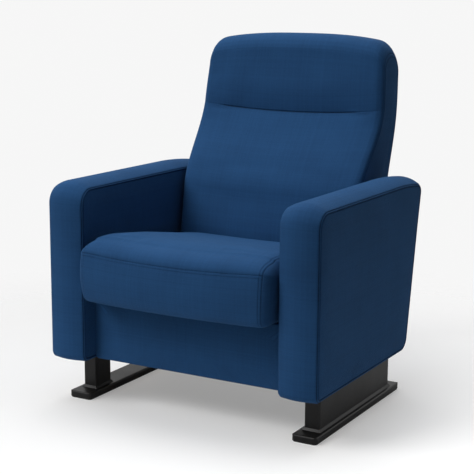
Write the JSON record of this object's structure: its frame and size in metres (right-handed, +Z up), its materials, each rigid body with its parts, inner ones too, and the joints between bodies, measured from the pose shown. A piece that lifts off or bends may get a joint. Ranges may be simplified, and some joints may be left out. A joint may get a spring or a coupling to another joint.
{
  "type": "cinema seat",
  "caption": "Upholstered push-back cinema seat: padded arms on posts and foot bars, a backrest that hinges back and a cushion that slides forward with it.",
  "frame": {"origin": "floor level, midway between the four floor bolts, which is midway between the two foot bars", "axes": "+Z up, +X to the right as seen from the front, the sitter faces -Y"},
  "size_m": [0.76, 0.7691, 0.938],
  "materials": {
    "blue_fabric": "matte",
    "blue_panel_fabric": "matte",
    "seat_foam_pad": "matte",
    "plywood": "matte",
    "timber": "matte",
    "webbing": "matte",
    "black_rubber": "matte",
    "black_satin_steel": "satin",
    "zinc_steel": "satin",
    "bright_steel": "satin",
    "spring_steel": "satin",
    "white_nylon": "satin",
    "bronze": "satin",
    "frame_steel": "satin"
  },
  "bodies": {
    "base": {"left_foot_bar": "black_satin_steel", "right_foot_bar": "black_satin_steel", "left_sole": "black_rubber", "right_sole": "black_rubber", "left_front_post": "black_satin_steel", "left_rear_post": "black_satin_steel", "right_front_post": "black_satin_steel", "right_rear_post": "black_satin_steel", "right_leg_shroud": "black_satin_steel", "left_arm_frame": "timber", "left_arm_inner_board": "plywood", "left_arm_outer_board": "plywood", "left_arm_foam": "seat_foam_pad", "left_arm_cover": "blue_fabric", "right_arm_frame": "timber", "right_arm_inner_board": "plywood", "right_arm_outer_board": "plywood", "right_arm_foam": "seat_foam_pad", "right_arm_cover": "blue_fabric", "front_cross_tube": "frame_steel", "rear_cross_tube": "frame_steel", "frame_bolts": "bright_steel", "left_slide_rail": "zinc_steel", "right_slide_rail": "zinc_steel", "rail_end_stops": "black_rubber", "left_pivot_bracket": "frame_steel", "right_pivot_bracket": "frame_steel", "pivot_pins": "bright_steel", "spring_guide_rods": "bright_steel", "left_return_spring": "spring_steel", "right_return_spring": "spring_steel", "apron_board": "plywood", "apron_cover": "blue_fabric", "apron_brackets": "frame_steel"},
    "seat": {"seat_cover": "blue_fabric", "seat_foam": "seat_foam_pad", "seat_frame": "frame_steel", "seat_webbing": "webbing", "left_carriage_plate": "frame_steel", "right_carriage_plate": "frame_steel", "carriage_bars": "frame_steel", "roller_axles": "bright_steel", "left_yoke": "frame_steel", "right_yoke": "frame_steel"},
    "back": {"back_cover": "blue_fabric", "headrest_cover": "blue_fabric", "back_foam": "seat_foam_pad", "headrest_foam": "seat_foam_pad", "back_frame": "frame_steel", "back_webbing": "webbing", "back_rear_panel": "blue_panel_fabric", "left_side_plate": "frame_steel", "right_side_plate": "frame_steel", "pivot_bushes": "bronze", "lever_pins": "bright_steel", "lever_rollers": "white_nylon"},
    "front_left_roller": {"front_left_roller": "white_nylon"},
    "front_right_roller": {"front_right_roller": "white_nylon"},
    "rear_left_roller": {"rear_left_roller": "white_nylon"},
    "rear_right_roller": {"rear_right_roller": "white_nylon"}
  },
  "joints": [
    {"name": "back_recline", "type": "hinge", "parent": "base", "child": "back", "pos_m": [0, 0.235, 0.47], "axis": [-1, 0, 0], "range_deg": [0, 12], "stiffness_Nm_per_rad": 60, "springref_deg": -20.05},
    {"name": "seat_slide", "type": "slide", "parent": "base", "child": "seat", "axis": [0, -1, 0], "range_m": [0, 0.0419], "deforming": ["left_return_spring", "right_return_spring"]},
    {"name": "front_left_roller_roll", "type": "hinge", "parent": "seat", "child": "front_left_roller", "pos_m": [-0.234, -0.155, 0.2378], "axis": [1, 0, 0], "range_deg": [0, 192.5]},
    {"name": "front_right_roller_roll", "type": "hinge", "parent": "seat", "child": "front_right_roller", "pos_m": [0.234, -0.155, 0.2378], "axis": [1, 0, 0], "range_deg": [0, 192.5]},
    {"name": "rear_left_roller_roll", "type": "hinge", "parent": "seat", "child": "rear_left_roller", "pos_m": [-0.234, 0.095, 0.2378], "axis": [1, 0, 0], "range_deg": [0, 192.5]},
    {"name": "rear_right_roller_roll", "type": "hinge", "parent": "seat", "child": "rear_right_roller", "pos_m": [0.234, 0.095, 0.2378], "axis": [1, 0, 0], "range_deg": [0, 192.5]}
  ],
  "couplings": [
    {"joint": "seat_slide", "follows": "back_recline", "m_per_rad": 0.2},
    {"joint": "front_left_roller_roll", "follows": "back_recline", "ratio": 16},
    {"joint": "front_right_roller_roll", "follows": "back_recline", "ratio": 16},
    {"joint": "rear_left_roller_roll", "follows": "back_recline", "ratio": 16},
    {"joint": "rear_right_roller_roll", "follows": "back_recline", "ratio": 16}
  ]
}
